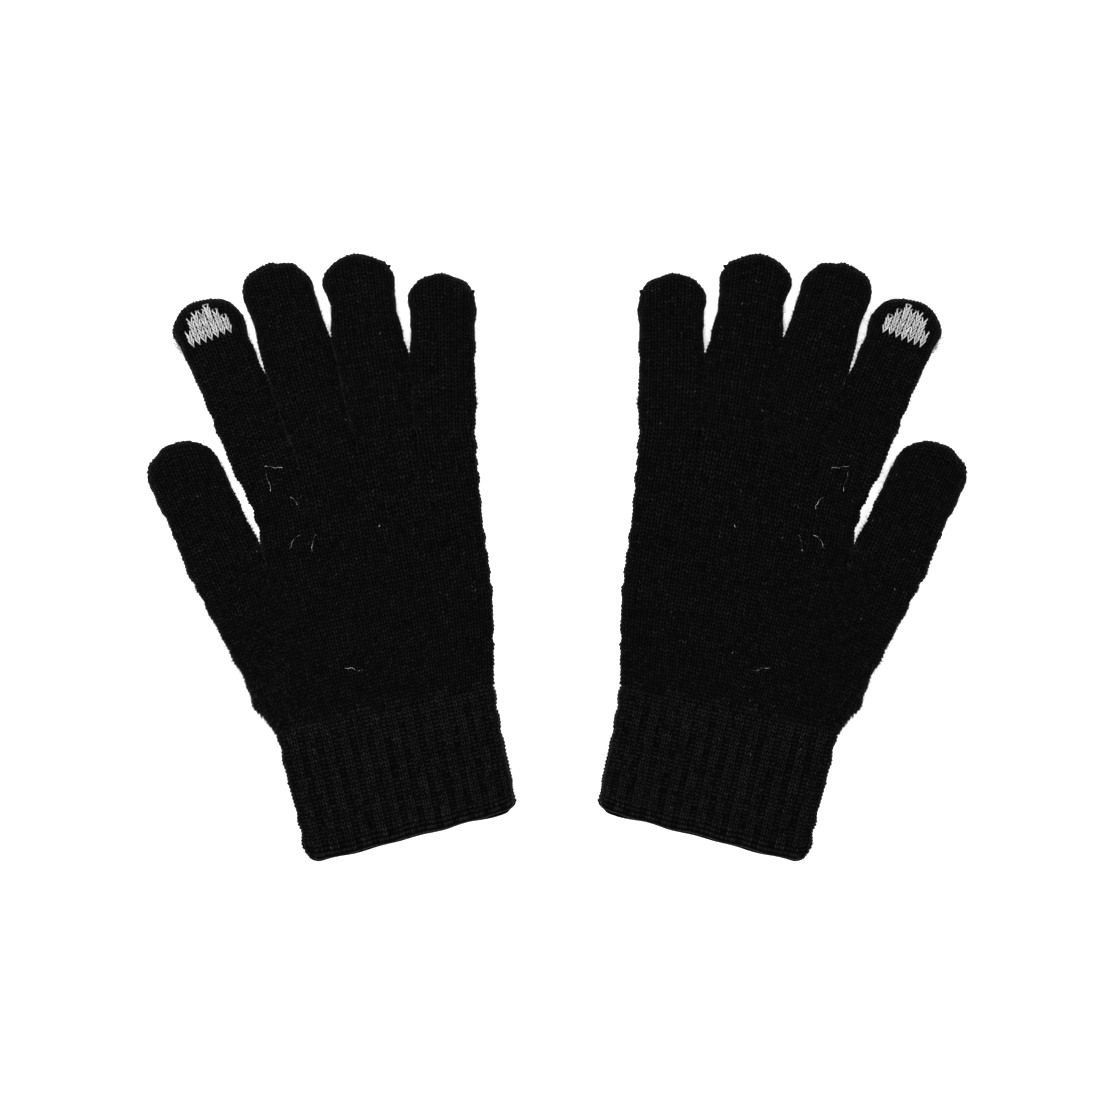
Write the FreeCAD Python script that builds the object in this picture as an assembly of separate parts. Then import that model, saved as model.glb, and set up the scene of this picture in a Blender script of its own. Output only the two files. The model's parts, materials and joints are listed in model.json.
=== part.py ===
"""A pair of knitted touchscreen gloves, lying flat with the palms up.

Millimetres. +X runs across the pair from the left glove to the right one, +Y runs towards the
fingertips and +Z is up, out of the palms. The origin is the middle of the pair, on the surface that
the gloves lie on. The left glove is built and the right one is its mirror image.

Every tube of the gloves (hand, fingers, cuff) is an empty knitted tube lying flat, which makes a
shape like a thin cushion: flat above and below, round along its sides, hollow inside.
"""
import FreeCAD, Part
import math
import os

Vector = FreeCAD.Vector

# The fabric.
LOFT = 9.0             # height of an empty tube lying flat
WALL = 1.8             # one layer of knit
SIDE_ROUND = 4.2       # radius of the folded sides of a tube, outside
INNER_ROUND = 2.4      # the same, inside
BODY_GAP = 0.4         # gap left between two pieces that turn on each other

# The fingers, from the little finger's outer root corner towards the thumb. Each root line is
# square to its own finger, and the root lines follow each other like a chain along the knuckles.
LITTLE_ROOT_CORNER = (-30.3, 48.3)
# name, lean to the left in degrees, root width, full width, whole length, length of the base segment
FINGERS = (
    ("little", 1.0, 23.0, 24.4, 57.2, 29.0),
    ("ring", 9.2, 23.0, 25.8, 67.2, 35.0),
    ("middle", 16.4, 22.8, 25.8, 71.0, 37.0),
    ("index", 22.5, 23.2, 25.4, 66.2, 33.0),
)
THUMB_CROTCH = (-110.4, 2.8)
THUMB = ("thumb", 24.0, 28.4, 27.6, 48.8, 24.0)
TIP_ROUND = 10.5       # plan radius of the two corners of a closed fingertip

# The hand.
HAND_SIDE_BOW = (-25.8, 1.7)      # the little finger's side of the hand bows out through this point
INDEX_SIDE_BOW = (-113.6, 17.5)   # the side between the index finger and the thumb's crotch
HEEL_CORNER = (-110.3, -59.5)     # where the thumb's side of the hand turns in towards the cuff
GUSSET_CORNER = (-108.5, 0.0)     # where the palm's own edge goes in under the thumb gusset
HEEL_ROUND = 6.0

# The cuff, from the wrist line to its mouth.
WRIST = (-64.05, -57.65)
CUFF_LEAN = 12.9
WRIST_WIDTH = 83.4
MOUTH_WIDTH = 79.4
CUFF_LENGTH = 48.3
HEM_LENGTH = 5.0

# The elastic yarn laid into the inside of the cuff.
ELASTIC_LOOPS = 5
ELASTIC_PITCH = 7.6
ELASTIC_WIDTH = 0.8
ELASTIC_DEPTH = 0.6

# The touch pad, in the palm side of the index fingertip, measured from the end of the finger.
PAD_OUTER = -9.3       # towards the thumb
PAD_INNER = 8.9        # towards the middle finger
PAD_FOOT = 15.8
PAD_SHOULDER = 9.0
PAD_PEAK = 2.6
PAD_DEPTH = 2.7        # deeper than the wall, so that the pad takes in the start of the round side

# The tail of conductive yarn beside the pad.
TAIL_DIAMETER = 1.6
TAIL_FOOT = (-13.7, 15.4)
TAIL_END = (-15.6, 8.6)

REACH = 30.0           # how far cutting blocks reach past the fabric
OVERLAP = 8.0          # how far a tube's pattern runs on past its own end before it is cut


def local_frame(centre, lean):
    """The frame of a tube: its own x runs across the tube and its y along it."""
    return FreeCAD.Placement(Vector(centre[0], centre[1], 0), FreeCAD.Rotation(Vector(0, 0, 1), lean))


def step_across(point, lean, distance):
    """The point that lies a distance away along a root line."""
    angle = math.radians(lean)
    return (point[0] + distance * math.cos(angle), point[1] + distance * math.sin(angle))


def step_along(point, lean, distance):
    """The point that lies a distance away in the direction of a finger."""
    angle = math.radians(lean)
    return (point[0] - distance * math.sin(angle), point[1] + distance * math.cos(angle))


def middle_of(a, b):
    return ((a[0] + b[0]) / 2, (a[1] + b[1]) / 2)


def knuckle_corners():
    """Corners between the root lines, from the little finger's outer side to the index's outer side."""
    corners = [LITTLE_ROOT_CORNER]
    for _, lean, root_width, _, _, _ in FINGERS:
        corners.append(step_across(corners[-1], lean, -root_width))
    return corners


def edge_chain(points):
    """Edges through the points; a triple (x, y, True) is the middle point of an arc."""
    edges = []
    index = 0
    closed = points + [points[0]]
    while index < len(points):
        here = Vector(closed[index][0], closed[index][1], 0)
        following = closed[index + 1]
        if len(following) == 3:
            beyond = closed[index + 2]
            middle = Vector(following[0], following[1], 0)
            edges.append(Part.Arc(here, middle, Vector(beyond[0], beyond[1], 0)).toShape())
            index += 2
        else:
            edges.append(Part.LineSegment(here, Vector(following[0], following[1], 0)).toShape())
            index += 1
    return edges


def flat_edges(solid):
    """The edges of the top and bottom faces."""
    return [edge for edge in solid.Edges if edge.BoundBox.ZLength < 0.01]


def upright_edges(solid, keep):
    """The upright edges whose plan position passes the test keep(x, y)."""
    found = []
    for edge in solid.Edges:
        box = edge.BoundBox
        if box.ZLength > 1 and box.XLength < 0.01 and box.YLength < 0.01 and keep(box.XMin, box.YMin):
            found.append(edge)
    return found


def cushion(wire, low, high, side_round, corner_round, keep=lambda x, y: True):
    """A plan outline raised to a slab, with round upright corners and round folded sides."""
    slab = Part.Face(wire).extrude(Vector(0, 0, high - low))
    slab.translate(Vector(0, 0, low))
    corners = upright_edges(slab, keep)
    if corners:
        slab = slab.makeFillet(corner_round, corners)
    return slab.makeFillet(side_round, flat_edges(slab))


def block(x_low, x_high, y_low, y_high, frame, z_low=-1.0, z_high=LOFT + 1.0):
    """A cutting block, given in a tube's own frame."""
    box = Part.makeBox(x_high - x_low, y_high - y_low, z_high - z_low, Vector(x_low, y_low, z_low))
    box.Placement = frame
    return box


def finger_tube(finger, centre, inset):
    """The whole cushion of a finger, run on backwards into the hand; inset is the depth below its skin."""
    _, lean, root_width, full_width, length, base_length = finger
    root = (root_width - BODY_GAP) / 2 - inset
    full = full_width / 2 - inset
    end = length - inset
    outline = [
        (-root, -OVERLAP), (-root, 0), (-full, base_length), (-full, end),
        (full, end), (full, base_length), (root, 0), (root, -OVERLAP),
    ]
    wire = Part.Wire(edge_chain(outline))
    side_round = INNER_ROUND if inset else SIDE_ROUND
    solid = cushion(wire, inset, LOFT - inset, side_round, TIP_ROUND - inset, lambda x, y: y > end - 1)
    solid.Placement = local_frame(centre, lean)
    return solid


def hand_cushion(outline, inset):
    """A part of the hand from its plan outline, with the heel corner rounded."""
    wire = Part.Wire(edge_chain(outline))
    if inset:
        wire = wire.makeOffset2D(-inset)
    side_round = INNER_ROUND if inset else SIDE_ROUND
    return cushion(wire, inset, LOFT - inset, side_round, HEEL_ROUND - inset,
                   lambda x, y: abs(x - HEEL_CORNER[0]) < 3 and abs(y - HEEL_CORNER[1]) < 3)


def palm_cushion(inset):
    """The hand without its thumb gusset, run on past the knuckles and the wrist."""
    corners = knuckle_corners()
    leans = [finger[1] for finger in FINGERS]
    corner_leans = [(a + b) / 2 for a, b in zip(leans[:1] + leans, leans + leans[-1:])]
    front = [step_along(corner, lean, OVERLAP) for corner, lean in zip(corners, corner_leans)]
    wrist_left = step_across(WRIST, CUFF_LEAN, -WRIST_WIDTH / 2)
    wrist_right = step_across(WRIST, CUFF_LEAN, WRIST_WIDTH / 2)
    outline = [
        wrist_left,
        HEEL_CORNER,
        GUSSET_CORNER,
        (INDEX_SIDE_BOW[0], INDEX_SIDE_BOW[1], True),
        corners[4],
        front[4], front[3], front[2], front[1], front[0],
        corners[0],
        (HAND_SIDE_BOW[0], HAND_SIDE_BOW[1], True),
        wrist_right,
        step_along(wrist_right, CUFF_LEAN, -OVERLAP),
        step_along(wrist_left, CUFF_LEAN, -OVERLAP),
    ]
    return hand_cushion(outline, inset)


def gusset_cushion(inset):
    """The thumb's side of the hand, from the heel corner to past the thumb's root line."""
    _, lean, root_width, _, _, _ = THUMB
    outer_root = step_across(THUMB_CROTCH, lean, -root_width)
    inside_low = (HEEL_CORNER[0] + REACH, HEEL_CORNER[1] + 8)
    inside_high = (THUMB_CROTCH[0] + REACH, THUMB_CROTCH[1] - 8)
    outline = [
        HEEL_CORNER, outer_root, step_along(outer_root, lean, OVERLAP),
        step_along(THUMB_CROTCH, lean, OVERLAP), THUMB_CROTCH, inside_high, inside_low,
    ]
    return hand_cushion(outline, inset)


def cuff_cushion(inset, run_on):
    """The cuff's cushion, run on into the hand and past its mouth."""
    top = WRIST_WIDTH / 2 - inset
    mouth = MOUTH_WIDTH / 2 - inset
    outline = [
        (-top, run_on), (-top, 0), (-mouth, -CUFF_LENGTH), (-mouth, -CUFF_LENGTH - run_on),
        (mouth, -CUFF_LENGTH - run_on), (mouth, -CUFF_LENGTH), (top, 0), (top, run_on),
    ]
    wire = Part.Wire(edge_chain(outline))
    slab = Part.Face(wire).extrude(Vector(0, 0, LOFT - 2 * inset))
    slab.translate(Vector(0, 0, inset))
    solid = slab.makeFillet(INNER_ROUND if inset else SIDE_ROUND, flat_edges(slab))
    solid.Placement = local_frame(WRIST, CUFF_LEAN)
    return solid


def root_centre(name):
    """The middle of a finger's root line."""
    if name == "thumb":
        return middle_of(THUMB_CROTCH, step_across(THUMB_CROTCH, THUMB[1], -THUMB[2]))
    corners = knuckle_corners()
    order = [finger[0] for finger in FINGERS]
    place = order.index(name)
    return middle_of(corners[place], corners[place + 1])


def build_fingers(pieces):
    """Ten tube segments: a base and a closed tip for each finger."""
    for finger in FINGERS + (THUMB,):
        name, lean, _, _, length, base_length = finger
        centre = root_centre(name)
        frame = local_frame(centre, lean)
        shell = finger_tube(finger, centre, 0).cut(finger_tube(finger, centre, WALL))
        half_gap = BODY_GAP / 2
        base_block = block(-REACH, REACH, half_gap, base_length - half_gap, frame)
        tip_block = block(-REACH, REACH, base_length + half_gap, length + 1, frame)
        pieces[name + "_base"] = shell.common(base_block)
        pieces[name + "_tip"] = shell.common(tip_block)


def build_hand(pieces):
    """The palm and back, open towards each finger, the thumb and the cuff."""
    outer = palm_cushion(0)
    for finger in FINGERS:
        frame = local_frame(root_centre(finger[0]), finger[1])
        outer = outer.cut(block(-3 * REACH, 3 * REACH, -BODY_GAP / 2, 2 * REACH, frame))
    gusset = gusset_cushion(0)
    thumb_frame = local_frame(root_centre("thumb"), THUMB[1])
    gusset = gusset.cut(block(-REACH, REACH, -BODY_GAP / 2, REACH, thumb_frame))
    cuff_frame = local_frame(WRIST, CUFF_LEAN)
    outer = outer.fuse(gusset).cut(block(-3 * REACH, 3 * REACH, -3 * REACH, BODY_GAP / 2, cuff_frame))
    cavity = palm_cushion(WALL)
    for finger in FINGERS:
        frame = local_frame(root_centre(finger[0]), finger[1])
        cavity = cavity.cut(block(-3 * REACH, 3 * REACH, -WALL, 2 * REACH, frame))
    thumb_cavity = gusset_cushion(WALL).cut(block(-REACH, REACH, -WALL, REACH, thumb_frame))
    cavity = cavity.fuse(thumb_cavity)
    for finger in FINGERS + (THUMB,):
        cavity = cavity.fuse(finger_tube(finger, root_centre(finger[0]), WALL))
    cavity = cavity.fuse(cuff_cushion(WALL, OVERLAP))
    pieces["hand"] = outer.cut(cavity).removeSplitter()


def elastic_rings():
    """Loops of elastic yarn, each let into the inner face of the cuff."""
    frame = local_frame(WRIST, CUFF_LEAN)
    outside = cuff_cushion(WALL - ELASTIC_DEPTH, OVERLAP)
    inside = cuff_cushion(WALL, OVERLAP + 1)
    sleeve = outside.cut(inside)
    rings = []
    for loop in range(ELASTIC_LOOPS):
        place = -ELASTIC_PITCH * (loop + 0.7)
        rings.append(sleeve.common(block(-2 * REACH, 2 * REACH, place - ELASTIC_WIDTH, place, frame)))
    return rings


def build_cuff(pieces):
    """The ribbed tube, its hem and the elastic inside it."""
    frame = local_frame(WRIST, CUFF_LEAN)
    shell = cuff_cushion(0, OVERLAP).cut(cuff_cushion(WALL, OVERLAP + 1))
    hem_line = HEM_LENGTH - CUFF_LENGTH
    rib = shell.common(block(-2 * REACH, 2 * REACH, hem_line, -BODY_GAP / 2, frame))
    hem = shell.common(block(-2 * REACH, 2 * REACH, -CUFF_LENGTH, hem_line, frame))
    rings = elastic_rings()
    for ring in rings:
        rib = rib.cut(ring)
    pieces["cuff_rib"] = rib
    pieces["cuff_hem"] = hem
    pieces["cuff_elastic"] = Part.makeCompound(rings)


def build_touch_pad(pieces):
    """The conductive patch, taken out of the wall of the index fingertip."""
    _, lean, _, _, length, _ = FINGERS[3]
    middle = (PAD_OUTER + PAD_INNER) / 2
    outline = [
        (PAD_OUTER, length - PAD_FOOT), (PAD_INNER, length - PAD_FOOT),
        (PAD_INNER, length - PAD_SHOULDER), (middle, length - PAD_PEAK),
        (PAD_OUTER, length - PAD_SHOULDER),
    ]
    prism = Part.Face(Part.Wire(edge_chain(outline))).extrude(Vector(0, 0, LOFT))
    prism.translate(Vector(0, 0, LOFT - PAD_DEPTH))
    prism.Placement = local_frame(root_centre("index"), lean).multiply(prism.Placement)
    tip = pieces["index_tip"]
    pieces["touch_pad"] = tip.common(prism)
    pieces["index_tip"] = tip.cut(prism)


def build_yarn_tail(pieces):
    """A short frayed end of the conductive yarn, standing off the side of the index fingertip."""
    _, lean, _, _, length, _ = FINGERS[3]
    foot = Vector(TAIL_FOOT[0], length - TAIL_FOOT[1], LOFT / 2)
    end = Vector(TAIL_END[0], length - TAIL_END[1], LOFT / 2)
    run = end - foot
    tail = Part.makeCylinder(TAIL_DIAMETER / 2, run.Length, foot, run)
    tail.Placement = local_frame(root_centre("index"), lean)
    pieces["yarn_tail"] = tail


def build_left_glove():
    pieces = {}
    build_hand(pieces)
    build_fingers(pieces)
    build_cuff(pieces)
    build_touch_pad(pieces)
    build_yarn_tail(pieces)
    return pieces


def main():
    os.makedirs("parts", exist_ok=True)
    for name, shape in build_left_glove().items():
        shape.exportStep("parts/left_" + name + ".step")
        mirrored = shape.mirror(Vector(0, 0, 0), Vector(1, 0, 0))
        mirrored.exportStep("parts/right_" + name + ".step")


if __name__ == "__main__":
    main()
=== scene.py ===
"""The looks of a pair of knitted touchscreen gloves that lie flat with their palms up.

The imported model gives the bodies, the hinges and the sizes. Here each rigid tube is replaced by
knitted fabric: a mesh whose vertices follow the wales and courses of the knit, so that every stitch
is a pair of slanted legs in real relief. Shapes are worked out in millimetres for the left glove.
The right glove is its mirror image, as it is in the frame.
"""
import json
import math

import bpy
import numpy as np
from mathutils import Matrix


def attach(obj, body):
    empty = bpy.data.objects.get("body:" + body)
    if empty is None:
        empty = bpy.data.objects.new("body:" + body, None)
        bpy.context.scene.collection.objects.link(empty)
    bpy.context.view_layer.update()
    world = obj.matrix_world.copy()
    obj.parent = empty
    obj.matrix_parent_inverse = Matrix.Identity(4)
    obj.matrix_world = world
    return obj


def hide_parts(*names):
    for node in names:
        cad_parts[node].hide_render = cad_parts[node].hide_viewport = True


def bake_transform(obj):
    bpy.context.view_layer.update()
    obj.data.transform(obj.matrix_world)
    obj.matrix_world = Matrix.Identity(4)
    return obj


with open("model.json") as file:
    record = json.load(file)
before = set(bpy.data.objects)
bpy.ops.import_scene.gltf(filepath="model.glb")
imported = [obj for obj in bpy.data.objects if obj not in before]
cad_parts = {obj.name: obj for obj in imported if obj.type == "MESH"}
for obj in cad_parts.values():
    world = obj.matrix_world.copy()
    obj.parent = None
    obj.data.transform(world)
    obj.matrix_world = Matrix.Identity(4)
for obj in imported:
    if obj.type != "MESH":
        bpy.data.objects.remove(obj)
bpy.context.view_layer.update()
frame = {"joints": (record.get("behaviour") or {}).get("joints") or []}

MM = 0.001

# The knit, in mm.
COURSE = 1.46           # height of one row of stitches
HALF_LOFT = 4.35        # half the height of an empty tube lying flat
SIDE_ROUND = 4.3        # radius of its folded sides, seen in plan
WALL = 1.7              # thickness of one layer
RELIEF = 0.62           # height of a stitch's legs over the gaps between them
LEAD = 0.85             # how many courses a leg climbs from the middle of its V to its outer end
FADE = 3.0              # courses over which the legs straighten out towards an edge

# Each wale is six columns of faces: gap, left leg (two), middle of the V, right leg (two).
LEG_ACROSS = np.array([0.22, 0.9, 1.0, 0.35, 1.0, 0.9])
LEG_CLIMB = np.array([1.0, 0.67, 0.33, 0.0, 0.33, 0.67])
# Each course is three rows of faces: the gap under a leg, its belly and its shoulder.
LEG_ALONG = np.array([0.0, 1.0, 0.75])
COLUMNS = len(LEG_ACROSS)
LEG_ON_FOLD = 2         # column at which a tube begins: its side fold runs along the middle of a leg
HALF_WALE = 3           # columns from there to the other leg of the stitch
ROWS = len(LEG_ALONG)

# Fingers: root width, full width, whole length, wales round half the tube.
FINGERS = {
    "index": (23.2, 25.4, 67.4, 12),
    "middle": (22.8, 25.4, 71.5, 12),
    "ring": (23.0, 25.4, 67.8, 12),
    "little": (23.0, 24.0, 57.7, 12),
    "thumb": (28.4, 27.0, 49.4, 13),
}
# Where the sides of a finger swell or draw in: side, place along it, amount and spread.
SIDE_SWELLS = {
    "index": ((-1, 28, -1.2, 24), (1, 27, 0.5, 8)),
    "middle": ((-1, 29, 0.5, 8), (-1, 52, -0.6, 8), (1, 36, 0.9, 9), (1, 58, -0.4, 6)),
    "ring": ((-1, 34, 0.9, 9), (-1, 50, -0.9, 5), (-1, 60, 0.8, 4), (1, 24, 1.0, 9), (1, 48, -0.8, 8)),
    "little": ((-1, 22, 1.0, 9), (-1, 41, -0.4, 6), (-1, 50, 0.6, 4), (1, 28, -0.6, 18)),
    "thumb": ((1, 38, -0.9, 9),),
}
CAP_LENGTH = 12.0       # the rounded end of a finger
CAP_SHOULDER = 11.0     # how far before the end the finger is widest
CAP_POWER = 2.02        # squareness of the rounded end
CAP_SKEW = 0.07         # the fingertips lean over a little further than the fingers
CAP_RUN_IN = 16.0       # how far before the rounded end its courses begin to curve
CAP_SAMPLES = 90        # steps in which the way over a rounded end is measured
SPLIT_SHARE = 0.52      # where the skin of a finger's base ends, as a share of the base's length
ROOT_TUCK = 0.45        # how deep a finger's first course lies under the edge of the hand
# Places for the bend of a finger's base, from PAST_ROOT beyond its root to BEFORE_SPLIT short of where base
# and tip meet, and of its tip, from AFTER_SPLIT beyond that to PAST_HINGE beyond the hinge in mid-finger;
# nothing here bends them.
PAST_ROOT = 2.3
BEFORE_SPLIT = 2.0
AFTER_SPLIT = 3.0
PAST_HINGE = 9.0

# Hand.
THUMB_WALES = 13
FINGER_WALES = 9
PALM_WALES = 4 * FINGER_WALES
ALL_WALES = THUMB_WALES + PALM_WALES
LOWER_COURSES = 45      # from the wrist to the thumb's crotch
UPPER_COURSES = 21      # from the thumb's crotch to the knuckles
GROOVE_LENGTH = 15.0    # how far the groove between two fingers runs back into the hand
LITTLE_SIDE_ROW = 16.0  # height on the little finger's side that is level with the thumb's crotch
PALM_SAG = 1.3          # how far the middle of the palm sinks
GATHERED = 0.165        # share of the wrist's width that the thumb's wales take up
HEEL_BULGE = 2.0        # how far the heel of the hand stands out on the thumb's side,
HEEL_PLACE = 0.18       # its place between the wrist and the crotch,
HEEL_SPREAD = 0.12      # and how far it spreads
THUMB_SIDE_BOW = 0.7    # outward bow of the side below the thumb
INDEX_SIDE_BOW = 1.4    # inward bow of the side between the thumb's crotch and the index finger
LITTLE_SIDE_BOW = 1.9   # outward bow of the little finger's side

# Cuff.
WRIST_WIDTH = 83.4
MOUTH_WIDTH = 79.4
CUFF_LENGTH = 48.3
HEM_LENGTH = 5.0
RIBS = 28
RIB_DEPTH = 0.6
KNIT_SHARE = 0.64       # how much of a rib and its furrow is the rib
CUFF_TUCK = 2.6         # how far the cuff runs on under the hand's last stitches
CUFF_TUCK_DEPTH = 0.3   # and how deep it lies there
CUFF_BEND = 16.0        # length of cuff over which it would bend away from the hand; nothing here bends it
MOUTH_TILT = 1.3        # how much longer the cuff is on the thumb's side, each way from the middle
MOUTH_EASE = 1.8        # extra width of the looser fabric at the mouth
MOUTH_SHIFT = 0.6       # how far the mouth lies over towards the thumb's side
MOUTH_DRAW = 1.5        # how far the mouth is drawn in along the cuff,
MOUTH_CORNER = 2.4      # its rounded corners more so,
BACK_HANG = 0.9         # and how much further its back layer reaches
MOUTH_WAVE = 0.4        # unevenness of its edge
INNER_DEPTH = WALL + 0.7        # from the crown of the ribs to the inside of the cuff
ELASTIC_LOOPS = 5
ELASTIC_PITCH = 7.6
ELASTIC_FIRST = 5.72    # from the wrist line to the first loop
ELASTIC_YARN = 0.32     # radius

rng = np.random.default_rng(7)


# -------- small helpers

def smooth(t):
    """0 below 0, 1 above 1, and an even turn between them."""
    t = np.clip(t, 0, 1)
    return t * t * (3 - 2 * t)


def lerp(a, b, t):
    return a + (b - a) * t


def unit(vectors):
    return vectors / np.maximum(np.linalg.norm(vectors, axis=-1, keepdims=True), 1e-9)


def fold_profile(distance):
    """Height share of a flat tube's skin, at a distance in plan inside its folded edge."""
    reach = np.clip(distance / SIDE_ROUND, 0, 1)
    return np.sqrt(np.clip(1 - (1 - reach) ** 2, 0, 1))


def fold_across(share, half_width):
    """Place across a flat tube, for a share from 0 to 1 of the way over its skin from side to side."""
    quarter = math.pi / 2 * SIDE_ROUND
    flat = 2 * (half_width - SIDE_ROUND)
    way = share * (flat + 2 * quarter)
    left = -half_width + SIDE_ROUND * (1 - np.cos(np.clip(way / SIDE_ROUND, 0, math.pi / 2)))
    left = left + np.clip(way - quarter, 0, flat)
    return left + SIDE_ROUND * np.sin(np.clip((way - quarter - flat) / SIDE_ROUND, 0, math.pi / 2))


def swell(x, y, seed):
    """Gentle unevenness of limp fabric, from about -1 to 1."""
    waves = np.random.default_rng(seed)
    total = np.zeros(np.broadcast(x, y).shape)
    for _ in range(7):
        heading = waves.uniform(0, 2 * math.pi)
        length = waves.uniform(9, 34)
        phase = waves.uniform(0, 2 * math.pi)
        total = total + np.sin((x * math.cos(heading) + y * math.sin(heading)) * 2 * math.pi / length + phase)
    return total / 3.2


# -------- where the frame puts each tube

JOINTS = {joint["name"]: joint for joint in frame["joints"]}


def hinge(name):
    """Place of a hinge of the left glove, and the direction in which its tube runs away from the hand."""
    joint = JOINTS["left_" + name]
    axis = np.array(joint["axis"])
    return np.array(joint["pos_m"][:2]) / MM, np.array([-axis[1], axis[0]])


class Tube:
    """A straight tube: its root, the direction that it runs in and the direction across it."""

    def __init__(self, root, along):
        self.root = root
        self.along = along
        self.across = np.array([along[1], -along[0]])

    def place(self, x, s):
        """Plan position of a point x across and s along the tube."""
        return self.root + np.multiply.outer(x, self.across) + np.multiply.outer(s, self.along)


# -------- meshes

class Skin:
    """Points, faces and stitch heights of one piece. Grids of points are added to it."""

    def __init__(self):
        self.points = []
        self.heights = []
        self.faces = []
        self.count = 0

    def add_points(self, points, heights):
        """Adds a block of points and gives back their numbers in the same layout."""
        shape = points.shape[:-1]
        numbers = np.arange(self.count, self.count + int(np.prod(shape))).reshape(shape)
        self.points.append(points.reshape(-1, 3))
        self.heights.append(np.broadcast_to(heights, shape).reshape(-1))
        self.count += numbers.size
        return numbers

    def add_faces(self, numbers, closed=False, flip=False):
        """Four-sided faces between neighbouring points of a block of numbers."""
        if closed:
            numbers = np.concatenate([numbers, numbers[:, :1]], axis=1)
        corners = [numbers[:-1, :-1], numbers[:-1, 1:], numbers[1:, 1:], numbers[1:, :-1]]
        quads = np.stack([c.reshape(-1) for c in corners], axis=1)
        self.faces.append(quads[:, ::-1] if flip else quads)

    def bridge(self, first, second, closed=False, flip=False):
        """A strip of faces between two rows of point numbers."""
        self.add_faces(np.stack([first, second]), closed, flip)

    def arrays(self):
        """Points, heights and quads, without the points that no face uses."""
        points = np.concatenate(self.points)
        heights = np.concatenate(self.heights)
        faces = np.concatenate(self.faces)
        used, faces = np.unique(faces, return_inverse=True)
        return points[used], heights[used], faces.reshape(-1, 4)


def face_loops(quads):
    """Corner lists of the faces; a quad with two corners in one place becomes a triangle."""
    doubled = quads == np.roll(quads, -1, axis=1)
    spare = doubled.sum(axis=1)
    whole = quads[spare == 0]
    cut = quads[spare == 1][~doubled[spare == 1]].reshape(-1, 3)
    loops = np.concatenate([whole.reshape(-1), cut.reshape(-1)])
    totals = np.concatenate([np.full(len(whole), 4), np.full(len(cut), 3)])
    return loops, totals


def make_piece(name, side, skin, material):
    """A Blender object from a skin, mirrored for the right glove."""
    points, heights, quads = skin.arrays()
    points = points * MM
    if side == "right":
        points = points * np.array([-1, 1, 1])
        quads = quads[:, ::-1]
    loops, totals = face_loops(quads)
    mesh = bpy.data.meshes.new(side + "_" + name)
    mesh.vertices.add(len(points))
    mesh.vertices.foreach_set("co", points.astype(np.float32).ravel())
    mesh.loops.add(len(loops))
    mesh.loops.foreach_set("vertex_index", loops.astype(np.int32))
    mesh.polygons.add(len(totals))
    starts = np.concatenate([[0], np.cumsum(totals)[:-1]])
    mesh.polygons.foreach_set("loop_start", starts.astype(np.int32))
    mesh.polygons.foreach_set("loop_total", totals.astype(np.int32))
    mesh.update(calc_edges=True)
    mesh.validate()
    mesh.shade_smooth()
    # The stitch height also sets the colour in the yarn materials: painted shade where it is low and painted
    # highlights where it is highest.
    attribute = mesh.attributes.new("stitch_height", "FLOAT", "POINT")
    attribute.data.foreach_set("value", heights.astype(np.float32))
    mesh.materials.append(material)
    piece = bpy.data.objects.new(side + "_" + name, mesh)
    bpy.context.scene.collection.objects.link(piece)
    return piece


def grid_normals(points, closed, outward):
    """Normals of a block of points; outward is 1 or -1."""
    if closed:
        across = np.roll(points, -1, axis=1) - np.roll(points, 1, axis=1)
    else:
        across = np.gradient(points, axis=1)
    along = np.gradient(points, axis=0)
    return unit(np.cross(across, along)) * outward


def tubes_along(skin, paths, radii, sides, height=0.5, painted_side_shade=0.0):
    """Round yarns or hairs: paths is (yarn, step, xyz), radii the radius at each step.

    height is the stitch height on their upper side, and the last argument says how much lower it is on their
    sides: painted shade along the sides of each yarn.
    """
    tangent = unit(np.gradient(paths, axis=1))
    helper = np.where(np.abs(tangent[..., 2:]) > 0.8, [[[1.0, 0, 0]]], [[[0, 0, 1.0]]])
    side = unit(np.cross(tangent, helper))
    up = np.cross(side, tangent)
    turns = np.arange(sides) * 2 * math.pi / sides
    ring = (side[:, :, None, :] * np.cos(turns)[:, None] + up[:, :, None, :] * np.sin(turns)[:, None])
    points = paths[:, :, None, :] + ring * np.asarray(radii)[..., None, None]
    for block, facing in zip(points, ring[..., 2]):
        # Lower stitch height towards the sides of each yarn: painted shade.
        numbers = skin.add_points(block, height - painted_side_shade * (1 - np.clip(facing, 0, 1)) ** 0.8)
        skin.add_faces(numbers, closed=True, flip=True)


# -------- stockinette

def wale_columns(wales, closed, first_column=LEG_ON_FOLD):
    """For each column of points: its place in wales, its leg height and how far it leads up the wale."""
    count = wales * COLUMNS + (0 if closed else 1)
    column = np.arange(count)
    within = (column + first_column) % COLUMNS
    return column / COLUMNS, LEG_ACROSS[within], LEG_CLIMB[within]


def stitch_heights(rows, leg):
    """Height from 0 to 1 of each point of a block of stitches, a little different from stitch to stitch."""
    along = LEG_ALONG[np.arange(rows) % ROWS]
    height = leg[None, :] * (0.12 + 0.88 * along[:, None])
    courses = rows // ROWS + 1
    legs = len(leg) * 2 // COLUMNS + 2
    uneven = rng.normal(0, 0.16, (courses, legs))
    leg_number = (np.arange(len(leg)) + LEG_ON_FOLD) * 2 // COLUMNS
    return height * (1 + uneven[np.arange(rows) // ROWS][:, leg_number])


def wander(course, place, seed):
    """Uneven tension of the knitting, in courses."""
    return 0.22 * swell(place * 5.5, course * 4.5, seed)


def inner_rows(rows):
    """The rows that the plain inside of the fabric keeps: every third course, and the last row."""
    return np.unique(np.append(np.arange(0, rows, 3 * ROWS), rows - 1))


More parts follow.
